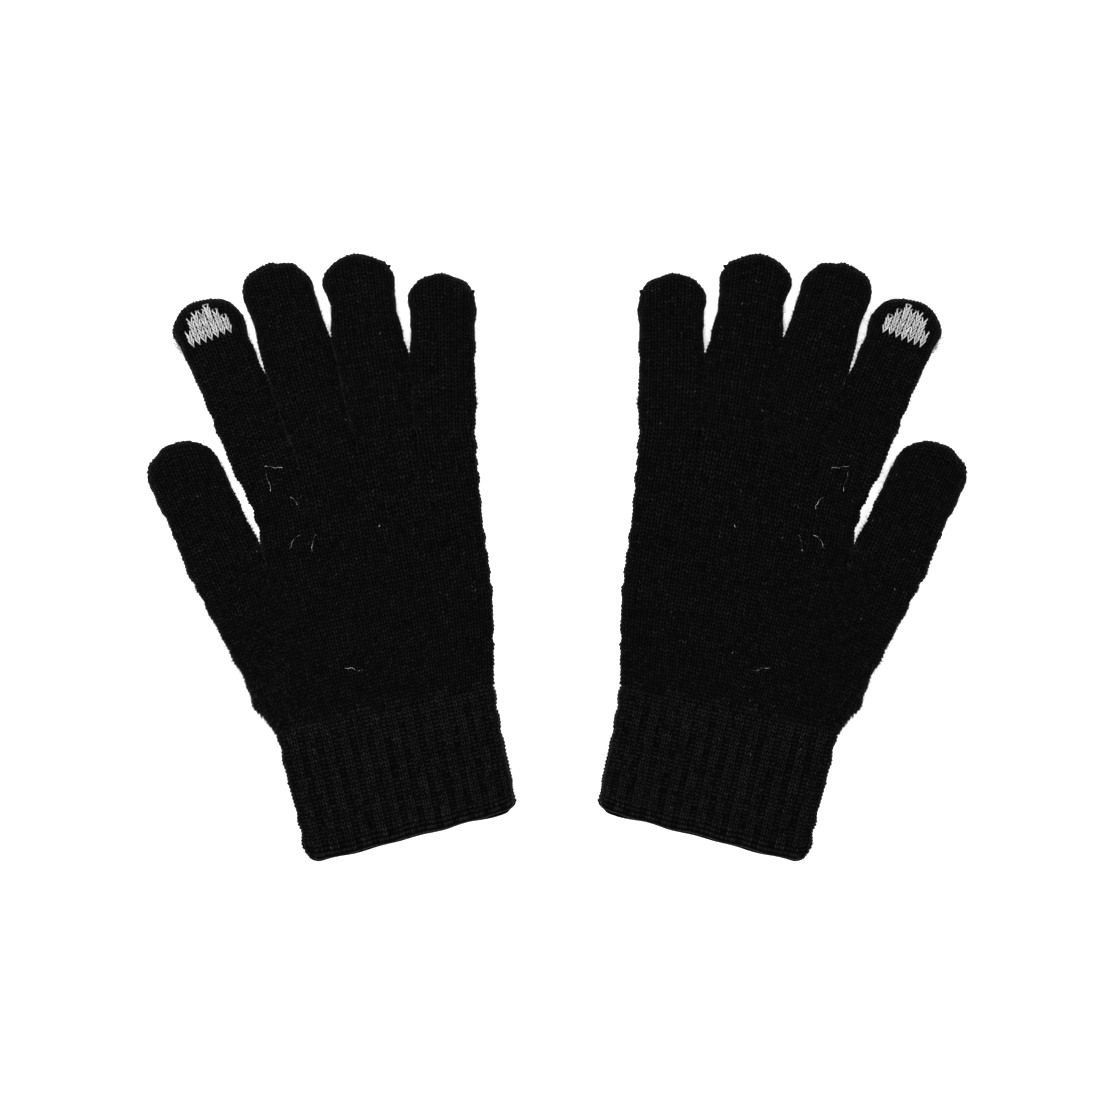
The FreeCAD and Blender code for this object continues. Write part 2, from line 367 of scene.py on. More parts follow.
def raise_stitches(points, normals, heights, seed):
    """Points moved in from the crown of the stitches, by how far each lies below it."""
    drift = swell(points[..., 0] * 2.3, points[..., 1] * 2.3, seed) * 0.32
    return points + normals * (RELIEF * (heights - 0.8) + drift - 0.1)[..., None]


# -------- fingers

class Finger:
    """One finger's tube: its skin as a function of the place across it and the course."""

    def __init__(self, name):
        root, along = hinge(name + "_root")
        bend, _ = hinge(name + "_bend")
        self.name = name
        self.tube = Tube(root, along)
        self.base_length = float(np.linalg.norm(bend - root))
        self.root_width, self.full_width, self.length, self.half_wales = FINGERS[name]
        self.straight = self.length - CAP_LENGTH - CAP_RUN_IN
        self.straight_courses = round(self.straight / COURSE)
        cap_way = CAP_RUN_IN + CAP_LENGTH + (math.pi / 2 - 1) * SIDE_ROUND
        self.cap_courses = round(cap_way / COURSE)
        self.courses = self.straight_courses + self.cap_courses
        self.split_course = round(self.base_length * SPLIT_SHARE / COURSE)
        self.seed = 100 + list(FINGERS).index(name)

    def half_width(self, s):
        """Half the width in plan: it widens from the root, and again a little just before the end."""
        width = lerp(self.root_width, self.full_width, smooth(s / 22))
        bulb = 1.2 * np.exp(-(np.clip(self.length - CAP_SHOULDER - s, 0, None) / 7.0) ** 2)
        return (width + bulb) / 2 + 0.35 + 0.2 * np.exp(-((s - 3) / 4) ** 2)

    def inside(self, x, s):
        """Distance in plan from a point inside the outline to the outline."""
        half = self.half_width(np.maximum(s, 0))
        beyond = np.clip(s - (self.length - CAP_LENGTH), 0, None)
        side_share = (np.abs(x) / half) ** CAP_POWER
        end_share = (beyond / CAP_LENGTH) ** CAP_POWER
        both = side_share + end_share
        scale = (half * side_share + CAP_LENGTH * end_share + 0.01 * half) / (both + 0.01)
        return scale * (1 - np.minimum(both, 1) ** (1 / CAP_POWER))

    def end_of(self, x):
        """How far along the finger the outline lies, at a place across it."""
        share = np.clip(1 - (np.abs(x) / self.half_width(self.length - CAP_SHOULDER)) ** CAP_POWER, 0, 1)
        return self.length - CAP_LENGTH + CAP_LENGTH * share ** (1 / CAP_POWER)

    def skin_points(self, course, place):
        """Points of the smooth skin; course and place (in wales round the tube) are blocks."""
        wales = 2 * self.half_wales
        share = (place % wales) / wales
        over = share <= 0.5
        half_share = np.where(over, share * 2, 2 - share * 2)
        upward = np.where(over, 1.0, -1.0)
        s = course * self.straight / self.straight_courses
        x = fold_across(half_share, self.half_width(s))
        lift = fold_profile(self.half_width(s) - np.abs(x))
        in_cap = course > self.straight_courses
        for column in range(course.shape[1]):
            rows = np.nonzero(in_cap[:, column])[0]
            if len(rows):
                here = fold_across(half_share[0, column], self.half_width(self.length - CAP_SHOULDER))
                way = np.sin(np.linspace(0, math.pi / 2, CAP_SAMPLES))
                s_way = lerp(self.straight, self.end_of(here), way)
                x_way = fold_across(half_share[0, column], self.half_width(s_way))
                lift_way = fold_profile(self.inside(x_way, s_way))
                steps = np.hypot(np.diff(s_way), np.diff(lift_way * HALF_LOFT))
                run = np.concatenate([[0], np.cumsum(steps)])
                reach = (course[rows, column] - self.straight_courses) / self.cap_courses * run[-1]
                x[rows, column] = np.interp(reach, run, x_way)
                s[rows, column] = np.interp(reach, run, s_way)
                lift[rows, column] = np.interp(reach, run, lift_way)
        return self.raised(x, s, lift * upward)

    def raised(self, x, s, lift):
        """Points at a height share lift, from -1 on the floor to 1 on top, with the fabric's slack."""
        aside = np.zeros_like(x)
        for side, centre, amount, spread in SIDE_SWELLS[self.name]:
            toward = np.clip(side * x / self.half_width(s), 0, 1)
            aside += side * toward * amount * np.exp(-((s - centre) / spread) ** 2) * smooth(s / 6)
        plan = self.tube.place(x + aside, s - CAP_SKEW * x * smooth((s - self.length + 22) / 16))
        fullness = 1 - (x / self.half_width(s)) ** 2
        slack = 0.45 * fullness + 0.45 * swell(plan[..., 0], plan[..., 1], self.seed)
        slack = slack * smooth(s / 12) * smooth((self.length - s) / 8)
        z = HALF_LOFT * (1 + lift) + np.maximum(lift, 0) ** 2 * slack
        return np.concatenate([plan, z[..., None]], axis=-1)

    def rows_between(self, first, last):
        """Course and place of each point between two courses, its leg height, and how many rows there are.

        The courses are led up towards the outer ends of the legs.
        """
        first_column = LEG_ON_FOLD + (HALF_WALE if self.half_wales % 2 == 0 else 0)
        place, leg, lead = wale_columns(2 * self.half_wales, True, first_column)
        rows = np.arange(first * ROWS, last * ROWS + 1)
        course = rows[:, None] / ROWS
        calm = np.clip((self.courses - course) / FADE, 0, 1)
        uneven = wander(course, place[None, :], self.seed) * calm * np.clip(course / FADE, 0, 1)
        course = course + calm * LEAD * lead[None, :] + uneven
        return course, np.broadcast_to(place[None, :], course.shape), leg, len(rows)

    def build(self, first, last):
        """Skin of the finger between two courses: knitted outside, plain inside, with closed edges."""
        skin = Skin()
        course, place, leg, rows = self.rows_between(first, last)
        row = np.arange(rows)
        smooth_points = self.skin_points(course, place)
        normals = grid_normals(smooth_points, closed=True, outward=1)
        heights = stitch_heights(rows, leg)
        closed_end = last == self.courses
        if closed_end:
            heights[-1] = 0.4
            normals[-1] = unit(normals[-1] * np.array([1, 1, 0]))
        tucked = ROOT_TUCK * (row < ROWS)[:, None] * (first < 0)
        outer = raise_stitches(smooth_points, normals, heights - tucked, self.seed)
        outer = skin.add_points(outer, heights)
        keep = inner_rows(rows)
        # The plain inside has stitch height 0, which paints it in the darkest grey of the gaps: painted
        # shade.
        inner = skin.add_points(smooth_points[keep] - normals[keep] * WALL, 0.0)
        if closed_end:
            half = outer.shape[1] // 2
            for block in (outer, inner):
                block[-1, half + 1:] = block[-1, 1:half][::-1]
        skin.add_faces(outer, closed=True)
        skin.add_faces(inner, closed=True, flip=True)
        skin.bridge(outer[0], inner[0], closed=True, flip=True)
        if not closed_end:
            skin.bridge(outer[-1], inner[-1], closed=True)
        return skin


# -------- hand

class Hand:
    """The palm and back. Its columns fan out from the wrist to the thumb and the four fingers."""

    def __init__(self, fingers):
        wrist, down = hinge("wrist")
        self.cuff = Tube(wrist, down)
        self.thumb = fingers["thumb"]
        self.fingers = [fingers[name] for name in ("index", "middle", "ring", "little")]
        self.crotch = self.thumb.tube.place(self.thumb.root_width / 2, 0.0)
        little = self.fingers[3]
        self.little_corner = little.tube.place(little.root_width / 2, 0.0)
        self.wrist_ends = wrist + np.outer([-WRIST_WIDTH / 2, WRIST_WIDTH / 2], -self.cuff.across)
        self.side_row = self.little_side(LITTLE_SIDE_ROW)

    def little_side(self, y):
        """The little finger's side of the hand: a shallow curve from the wrist to the finger."""
        low, high = self.wrist_ends[1], self.little_corner
        t = (y - low[1]) / (high[1] - low[1])
        return np.array([lerp(low[0], high[0], t), y])

    def wrist_row(self, place):
        """Points on the wrist line; the thumb's wales are gathered there."""
        on_palm = (place - THUMB_WALES) / PALM_WALES
        share = np.where(place < THUMB_WALES, place / THUMB_WALES * GATHERED, lerp(GATHERED, 1.0, on_palm))
        x = fold_across(share, WRIST_WIDTH / 2)
        return self.cuff.root - np.multiply.outer(x, self.cuff.across)

    def crotch_row(self, place):
        """Points on the row that passes the thumb's root line and the thumb's crotch."""
        thumb_x = fold_across(np.clip(place / THUMB_WALES, 0, 1), self.thumb.root_width / 2)
        on_thumb = self.thumb.tube.place(thumb_x, np.zeros_like(thumb_x))
        span = self.side_row - self.crotch
        half = np.linalg.norm(span) / 2
        palm_x = fold_across(np.clip((place - THUMB_WALES) / PALM_WALES, 0, 1), half)
        on_palm = self.crotch + np.multiply.outer((palm_x + half) / (2 * half), span)
        return np.where((place < THUMB_WALES)[..., None], on_thumb, on_palm)

    def knuckle_row(self, place):
        """Points on the root lines of the four fingers."""
        points = np.zeros(place.shape + (2,))
        along = np.zeros(place.shape + (2,))
        for number, finger in enumerate(self.fingers):
            share = (place - THUMB_WALES) / FINGER_WALES - number
            ours = (share >= 0 if number else np.ones_like(share, bool))[..., None]
            off_centre = np.clip(share, 0, 1) * 2 - 1
            spare = finger.half_wales / FINGER_WALES - 1
            share = 0.5 + (off_centre + spare * off_centre ** 5) / (1 + spare) / 2
            x = fold_across(share, finger.root_width / 2)
            points = np.where(ours, finger.tube.place(x, np.zeros_like(x)), points)
            along = np.where(ours, finger.tube.along, along)
        return points, along

    def plan(self, course, place, on_thumb):
        """Plan position of points of the hand.

        With it come the distances back from the thumb's crotch and from the knuckles, and how far each
        point is on its way from the wrist to the crotch and from the crotch to the knuckles.
        """
        wrist, crotch = self.wrist_row(place), self.crotch_row(place)
        knuckle, along = self.knuckle_row(place)
        low = np.clip(course / LOWER_COURSES, 0, 1)
        high = np.clip((course - LOWER_COURSES) / UPPER_COURSES, 0, 1) * (not on_thumb)
        plan = lerp(lerp(wrist, crotch, low[..., None]), knuckle, high[..., None])
        past = course - LOWER_COURSES - (0 if on_thumb else UPPER_COURSES)
        onward = self.thumb.tube.along if on_thumb else along
        plan = plan + np.clip(past, 0, None)[..., None] * COURSE * onward
        from_thumb = 1 - place / ALL_WALES
        bump = np.exp(-((low - HEEL_PLACE) / HEEL_SPREAD) ** 2) * smooth(low / HEEL_SPREAD)
        heel = HEEL_BULGE * bump * from_thumb ** 2
        heel += THUMB_SIDE_BOW * np.sin(math.pi * low) * from_thumb ** 3
        plan[..., 0] -= heel * (high == 0)
        palm_share = np.clip((place - THUMB_WALES) / PALM_WALES, 0, 1)
        plan[..., 0] += INDEX_SIDE_BOW * 4 * high * (1 - high) * (1 - palm_share) ** 3
        plan[..., 0] += LITTLE_SIDE_BOW * np.sin(math.pi * low) * (high == 0) * palm_share ** 3
        back_low = (1 - low) * np.linalg.norm(crotch - wrist, axis=-1)
        back_high = (1 - high) * np.linalg.norm(knuckle - crotch, axis=-1) + (high == 0) * 99
        return plan, back_low, back_high, low, high

    def skin_points(self, course, place, upward, on_thumb):
        """Points of the top (upward 1) or bottom (upward -1) skin."""
        plan, back_low, back_high, low, high = self.plan(course, place, on_thumb)

        def gap_to(wale):
            """Distance in plan from each point to a wale, along the course."""
            other = self.plan(course, np.full_like(place, wale), on_thumb)[0]
            return np.linalg.norm(plan - other, axis=-1)

        left_edge = np.where(high > 0, gap_to(THUMB_WALES), gap_to(0.0))
        lift = fold_profile(left_edge) * fold_profile(gap_to(float(ALL_WALES)))
        crotch_groove = (1 - smooth(back_low / GROOVE_LENGTH)) * (high == 0)
        lift = lift * (1 - crotch_groove * (1 - fold_profile(gap_to(THUMB_WALES))))
        for number in (1, 2, 3):
            groove = 1 - smooth(back_high / GROOVE_LENGTH)
            line = gap_to(THUMB_WALES + number * FINGER_WALES)
            lift = lift * (1 - groove * (1 - fold_profile(line)))
        middle = np.sin(math.pi * place / ALL_WALES) ** 2
        reach = (low * LOWER_COURSES + high * UPPER_COURSES) / (LOWER_COURSES + UPPER_COURSES)
        calm = np.sin(math.pi * np.clip(reach, 0, 1)) * smooth(back_low / 10 + high * 5)
        x, y = plan[..., 0], plan[..., 1]
        uneven = 0.7 * swell(x, y, 41) + 0.35 * swell(x * 2, y * 2, 42)
        slack = calm * (uneven - PALM_SAG * middle)
        z = HALF_LOFT * (1 + lift * upward) + (upward > 0) * lift ** 2 * slack
        return np.concatenate([plan, z[..., None]], axis=-1)

    def block(self, skin, wales, first_wale, last):
        """Adds the top and bottom of some wales of the hand, outside and inside, and gives their numbers.

        The wales run from the wrist to the course last. keep lists the rows that the inside has.
        """
        place, leg, lead = wale_columns(wales, closed=False)
        place = place + first_wale
        rows = np.arange(last * ROWS + 1)
        course = rows[:, None] / ROWS
        on_thumb = first_wale == 0
        calm = np.clip(course / FADE, 0, 1) * np.clip((last - course) / FADE, 0, 1)
        uneven = wander(course, place[None, :], 44) * calm
        crotch_distance = np.hypot((place[None, :] - THUMB_WALES) / 2, (course - LOWER_COURSES) / 4)
        uneven = uneven * np.clip(crotch_distance, 0, 1)
        course = course + LEAD * lead[None, :] + uneven
        place = np.broadcast_to(place[None, :], course.shape)
        heights = stitch_heights(len(rows), leg)
        keep = inner_rows(len(rows))
        numbers = {}
        for upward, side in ((1, "top"), (-1, "bottom")):
            points = self.skin_points(course, place, upward, on_thumb)
            normals = grid_normals(points, closed=False, outward=upward)
            for edge in (0, -1):
                flat = np.abs(points[:, edge, 2] - HALF_LOFT) < 0.01
                normals[flat, edge] = unit(normals[flat, edge] * np.array([1, 1, 0]))
            raised = raise_stitches(points, normals, heights, 43)
            numbers[side] = skin.add_points(raised, heights)
            # The plain inside has stitch height 0, which paints it in the darkest grey of the gaps: painted
            # shade.
            numbers[side + "_inner"] = skin.add_points(points[keep] - normals[keep] * WALL, 0.0)
        numbers["keep"] = keep
        return numbers


def build_hand(hand):
    """The hand's skin: the thumb's wales up to the thumb's root, the palm's wales up to the knuckles."""
    skin = Skin()
    thumb = hand.block(skin, THUMB_WALES, 0, LOWER_COURSES)
    palm = hand.block(skin, PALM_WALES, THUMB_WALES, LOWER_COURSES + UPPER_COURSES)
    seam = LOWER_COURSES * ROWS
    for layer in ("top", "bottom"):
        palm[layer][:seam + 1, 0] = thumb[layer][:, -1]
        inner_seam = int(np.searchsorted(palm["keep"], seam))
        palm[layer + "_inner"][:inner_seam + 1, 0] = thumb[layer + "_inner"][:, -1]
    for suffix in ("", "_inner"):
        thumb["bottom" + suffix][:, 0] = thumb["top" + suffix][:, 0]
        palm["bottom" + suffix][:, -1] = palm["top" + suffix][:, -1]
        start = seam if not suffix else int(np.searchsorted(palm["keep"], seam))
        palm["bottom" + suffix][start:, 0] = palm["top" + suffix][start:, 0]
        thumb["bottom" + suffix][-1, -1] = thumb["top" + suffix][-1, -1]
    for part in (thumb, palm):
        skin.add_faces(part["top"])
        skin.add_faces(part["bottom"], flip=True)
        skin.add_faces(part["top_inner"], flip=True)
        skin.add_faces(part["bottom_inner"])
        for edge in (0, -1):
            skin.bridge(part["top"][edge], part["top_inner"][edge], flip=edge == 0)
            skin.bridge(part["bottom"][edge], part["bottom_inner"][edge], flip=edge == -1)
    return skin


# -------- cuff

def rib_columns():
    """For each column round the cuff: place in ribs, knit height, lead, and depth of the rib's furrow, which
    also darkens the furrow as painted shade.
    """
    purl = 6
    cells = 2 * COLUMNS + purl
    count = RIBS * cells
    column = np.arange(count)
    within = column % cells
    knit = within <= 2 * COLUMNS
    purl_way = (within - 2 * COLUMNS) / purl
    phase = np.where(knit, within / (2 * COLUMNS) * KNIT_SHARE, lerp(KNIT_SHARE, 1.0, purl_way))
    place = column // cells + phase
    leg = np.where(knit, LEG_ACROSS[within % COLUMNS], 0.7)
    lead = np.where(knit, LEG_CLIMB[within % COLUMNS], 1 - 0.6 * np.sin(math.pi * purl_way))
    furrow = (0.5 - 0.5 * np.cos(2 * math.pi * (phase - KNIT_SHARE / 2))) ** 2
    return place, leg, lead, furrow


def cuff_points(cuff, place, s):
    """Smooth skin of the cuff: place in ribs round it, s from the wrist line towards the mouth."""
    share = (place % RIBS) / RIBS
    half_share = np.where(share <= 0.5, share * 2, 2 - share * 2)
    upward = np.where(share <= 0.5, 1.0, -1.0)
    half = lerp(WRIST_WIDTH, MOUTH_WIDTH + MOUTH_EASE, s / CUFF_LENGTH) / 2
    x = fold_across(half_share, half)
    lift = fold_profile(half - np.abs(x))
    mouth = smooth((s - 20) / 28)
    corner = np.clip((np.abs(x) - half + 7) / 7, 0, 1) ** 2.5
    hang = BACK_HANG * (upward < 0) + MOUTH_WAVE * swell(x * 1.6, upward * 30, 62) - MOUTH_CORNER * corner
    hang = hang - MOUTH_DRAW - MOUTH_TILT * x / half
    x = x - MOUTH_SHIFT * s / CUFF_LENGTH
    plan = cuff.root - x[..., None] * cuff.across + (s + hang * mouth ** 3)[..., None] * cuff.along
    sag = 1.2 * mouth * np.cos(math.pi * x / (2 * half)) ** 2
    slack = 0.6 * swell(plan[..., 0], plan[..., 1], 61) - sag
    slack = slack * smooth(s / 12)
    z = HALF_LOFT * (1 + lift * upward) + np.maximum(upward * lift, 0) ** 2 * slack
    return np.concatenate([plan, z[..., None]], axis=-1)


def build_cuff_part(cuff, start, end, at_mouth):
    """The ribbed tube between two places along the cuff; at the mouth its edge rolls in."""
    skin = Skin()
    place, leg, lead, furrow = rib_columns()
    courses = round((end - start) / COURSE)
    rows = np.arange(courses * ROWS + 1)
    course = rows[:, None] / ROWS
    calm = np.clip((courses - course) / FADE, 0, 1) if at_mouth else 1.0
    s = start + (course - calm * LEAD * lead[None, :]) * (end - start) / courses
    place = np.broadcast_to(place[None, :], s.shape)
    points = cuff_points(cuff, place, s)
    normals = grid_normals(points, closed=True, outward=-1)
    heights = stitch_heights(len(rows), leg)
    ribbed = smooth((s + 2) / 16)
    tucked = CUFF_TUCK_DEPTH * (s < start + CUFF_TUCK) * (not at_mouth)
    depth = RIB_DEPTH * furrow[None, :] * ribbed + tucked
    depth = depth - 0.35 * swell(points[..., 0] * 2.3, points[..., 1] * 2.3, 63)
    outside = points + normals * (RELIEF * (heights - 0.8) - 0.1 - depth)[..., None]
    # The furrows between the ribs are painted darker here: painted shade.
    outer = skin.add_points(outside, heights * (1 - 0.18 * furrow[None, :] * ribbed))
    keep = np.arange(0, len(rows), ROWS)
    inside = points[keep] - normals[keep] * INNER_DEPTH
    # The inside's low stitch height paints it in the darkest grey of the gaps: painted shade.
    inner = skin.add_points(inside, 0.15)
    skin.add_faces(outer, closed=True, flip=True)
    skin.add_faces(inner, closed=True)
    skin.bridge(outer[0], inner[0], closed=True)
    if at_mouth:
        turns = np.linspace(0, math.pi, 7)[1:-1]
        middle = (outside[-1] + inside[-1]) / 2
        arm = (outside[-1] - inside[-1]) / 2
        forward = np.append(cuff.along, 0.0) * 0.9
        roll = np.stack([middle + arm * math.cos(t) + forward * math.sin(t) for t in turns])
        lip = skin.add_points(roll, 0.5)
        rim = np.concatenate([outer[-1:], lip, inner[-1:]])
        skin.add_faces(rim, closed=True, flip=True)
    else:
        skin.bridge(outer[-1], inner[-1], closed=True, flip=True)
    return skin


def elastic_loops(cuff):
    """Loops of elastic yarn that run round the inside of the cuff."""
    skin = Skin()
    turns = np.linspace(0, RIBS, 241)
    for loop in range(ELASTIC_LOOPS):
        s = np.full_like(turns, ELASTIC_FIRST + ELASTIC_PITCH * loop)
        points = cuff_points(cuff, turns[None, :], s[None, :])
        further = cuff_points(cuff, turns[None, :], s[None, :] + 1)
        normals = grid_normals(np.concatenate([points, further]), closed=True, outward=-1)
        path = points[0] - normals[0] * (WALL + 1.0)
        tubes_along(skin, path[None], np.full(len(turns), ELASTIC_YARN), sides=6)
    return skin


# -------- touch pad and loose yarn

PAD_PITCH = 2.5         # width of a wale
PAD_FIRST = -7.5        # middle of the first wale, across the finger
# How far below the end of the finger each wale of the pad begins, from the thumb's side.
PAD_TOPS = (9.9, 6.3, 4.7, 3.9, 3.0, 5.6, 9.6)
PAD_FOOT = 15.8         # and how far below it all of them end
PAD_COURSE = 1.5
PAD_YARN = 0.26         # radius
# Half a loop of the pad's yarn, from its foot up the left leg to the middle of its head: across in
# wales, along in courses, and height in mm.
PAD_LEG = [(-0.02, -0.95, -0.7), (-0.06, -0.5, 0.0), (-0.22, 0.15, 0.42), (-0.35, 0.75, 0.25),
           (-0.37, 1.05, -0.15), (-0.22, 1.3, -0.7), (0.0, 1.35, -0.9)]


def smooth_path(knots, steps):
    """An even curve through a few points."""
    knots = np.asarray(knots, float)
    padded = np.concatenate([2 * knots[:1] - knots[1:2], knots, 2 * knots[-1:] - knots[-2:-1]])
    result = []
    for number in range(len(knots) - 1):
        a, b, c, d = padded[number:number + 4]
        for t in np.arange(steps) / steps:
            result.append(0.5 * (2 * b + (c - a) * t + (2 * a - 5 * b + 4 * c - d) * t ** 2
                                 + (3 * b - a - 3 * c + d) * t ** 3))
    result.append(knots[-1])
    return np.array(result)


def pad_skin(finger):
    """Each stitch of the conductive patch as a real loop of yarn, lying on the fingertip."""
    skin = Skin()
    loop = PAD_LEG + [(-x, s, z) for x, s, z in PAD_LEG[-2::-1]]
    loop = smooth_path(loop, 3) * np.array([PAD_PITCH, PAD_COURSE, 1.0])
    for wale, top in enumerate(PAD_TOPS):
        middle = PAD_FIRST + wale * PAD_PITCH
        count = round((PAD_FOOT - top - 2.4) / PAD_COURSE) + 1
        for stitch in range(count):
            low = finger.length - PAD_FOOT + stitch * PAD_COURSE + rng.normal(0, 0.08)
            jitter = rng.normal(0, 0.06, 2)
            x = middle + loop[:, 0] * (1 + jitter[0]) + rng.normal(0, 0.05)
            s = low + 0.8 + loop[:, 1] * 0.92
            path = on_fingertip(finger, x, s, loop[:, 2] * (1 + jitter[1]) + 0.12)
            radii = np.full(len(path), PAD_YARN * (1 + rng.normal(0, 0.04)))
            # The sides of each loop are painted dark: painted shade between the strokes of the pad.
            tubes_along(skin, path[None], radii, sides=8, height=1.1, painted_side_shade=0.85)
    return skin


def on_fingertip(finger, x, s, above):
    """Points above the top skin of a fingertip."""
    def at(dx, ds):
        """The top skin a little to the side of the points or further along the finger."""
        return finger.raised(x + dx, s + ds, fold_profile(finger.inside(x + dx, s + ds)))

    point = at(0, 0)
    normal = unit(np.cross(at(0.2, 0) - at(-0.2, 0), at(0, 0.2) - at(0, -0.2)))
    return point + normal * above[:, None]


TUFT_FIBRES = 22
TUFT_FROM_END = 14.6    # distance of the tuft from the end of the finger


def tuft_skin(finger):
    """The frayed end of the conductive yarn, at the outer side of the fingertip."""
    skin = Skin()
    half = finger.full_width / 2
    for _ in range(TUFT_FIBRES):
        from_end = TUFT_FROM_END - rng.normal(0, 1.1)
        foot = np.array([-half + 0.3, finger.length - from_end, HALF_LOFT + rng.normal(0, 0.7)])
        reach = rng.uniform(1.5, 6.0)
        out = rng.uniform(0.2, 1.7)
        curl = rng.normal(0, 0.6, 3)
        knots = [foot, foot + np.array([-out * 0.45, reach * 0.4, 0]) + curl * 0.3,
                 foot + np.array([-out, reach * 0.75, 0]) + curl * 0.8,
                 foot + np.array([-out * 0.9 + curl[1], reach, 0]) + curl]
        path = smooth_path(knots, 4)
        plan = finger.tube.place(path[:, 0], path[:, 1])
        path = np.concatenate([plan, path[:, 2:]], axis=1)
        tubes_along(skin, path[None], np.linspace(0.2, 0.09, len(path)), sides=5, height=0.7)
    return skin


HAIR_REACH = 0.85       # mean length of the fuzz
HAIR_RADIUS = 0.045


def add_hairs(skin, count, seed):
    """Short loose fibres standing out of a skin's outside, most of them along its sides."""
    hairs = np.random.default_rng(seed)
    points = skin.points[0]
    heights = skin.heights[0]
    weight = (heights > 0.5) * (0.12 + np.exp(-((points[:, 2] - HALF_LOFT) / 1.8) ** 2))
    chosen = hairs.choice(len(points), count, p=weight / weight.sum())
    centre = points.mean(axis=0)
    out = points[chosen] - centre
    out[:, 2] = (points[chosen, 2] - HALF_LOFT) * 3
    out = unit(out) + hairs.normal(0, 0.55, (count, 3))
    out[:, 2] = np.where(points[chosen, 2] < 2.5, np.abs(out[:, 2]) * 0.3, out[:, 2])
    out = unit(out)
    bend = hairs.normal(0, 0.5, (count, 3))
    length = hairs.gamma(3, HAIR_REACH / 3, count)[:, None]
    steps = [points[chosen] - out * 0.3]
    for share in (0.4, 0.75, 1.0):
        steps.append(points[chosen] + (out * share + bend * share ** 2 * 0.7) * length)
    paths = np.stack(steps, axis=1)
    paths[..., 2] = np.maximum(paths[..., 2], 0.05)
    tubes_along(skin, paths, np.array([1.0, 1.0, 0.8, 0.4]) * HAIR_RADIUS, sides=3, height=0.7)


# Where stray fibres start on the palm.
STRAYS = ((-108.0, 31.0), (-102.0, 33.0), (-99.0, 22.0), (-95.0, 8.0), (-91.0, 2.0), (-72.0, -42.0))


def add_stray_fibres(skin, points, seed):
    """A few long pale fibres lying on the fabric, each starting at one of the given points."""
    strays = np.random.default_rng(seed)
    for point in points:
        heading = strays.uniform(0, 2 * math.pi)
        knots = [np.append(point, 2 * HALF_LOFT + 0.1)]
        for _ in range(5):
            heading += strays.normal(0, 0.45)
            step = np.array([math.cos(heading), math.sin(heading), strays.normal(0, 0.05)])
            knots.append(knots[-1] + step * strays.uniform(0.9, 1.7))
        path = smooth_path(knots, 4)
        tubes_along(skin, path[None], np.full(len(path), 0.05), sides=4, height=1.62)


def add_nubs(skin, finger, seed):
    """Small knots at the corners of a closed fingertip."""
    knots_rng = np.random.default_rng(seed)
    half = finger.half_width(finger.length - CAP_SHOULDER)
    for x in (-0.9 * half, 0.9 * half):
        s = finger.end_of(x)
        lean = knots_rng.uniform(0.2, 1.1)
        out = np.linspace(-1.4, knots_rng.uniform(0.1, 0.6), 6)
        plan = finger.tube.place(x + np.sign(x) * out * math.cos(lean), s + out * math.sin(lean))
        height = np.full(6, HALF_LOFT + knots_rng.uniform(-0.5, 1.0))
        path = np.concatenate([plan, height[:, None]], axis=1)
        tubes_along(skin, path[None], np.array([0.9, 1.0, 1.0, 0.95, 0.8, 0.45]) * 0.75, sides=7, height=0.9)


# -------- materials

PATCH_SCALE = 420.0     # of the unevenness from stitch to stitch


def node(tree, kind, inputs=(), **settings):
    """A shader node; an input is either a value or the output of another node."""
    made = tree.nodes.new(kind)
    for name, value in settings.items():
        setattr(made, name, value)
    for name, value in dict(inputs).items():
        if isinstance(value, bpy.types.NodeSocket):
            tree.links.new(value, made.inputs[name])
        else:
            made.inputs[name].default_value = value
    return made


def new_material(name):
    """A material with nothing but a plain shader."""
    material = bpy.data.materials.new(name)
    material.use_nodes = True
    tree = material.node_tree
    tree.nodes.clear()
    output = node(tree, "ShaderNodeOutputMaterial")
    shader = node(tree, "ShaderNodeBsdfPrincipled")
    tree.links.new(shader.outputs["BSDF"], output.inputs["Surface"])
    return material, tree, shader


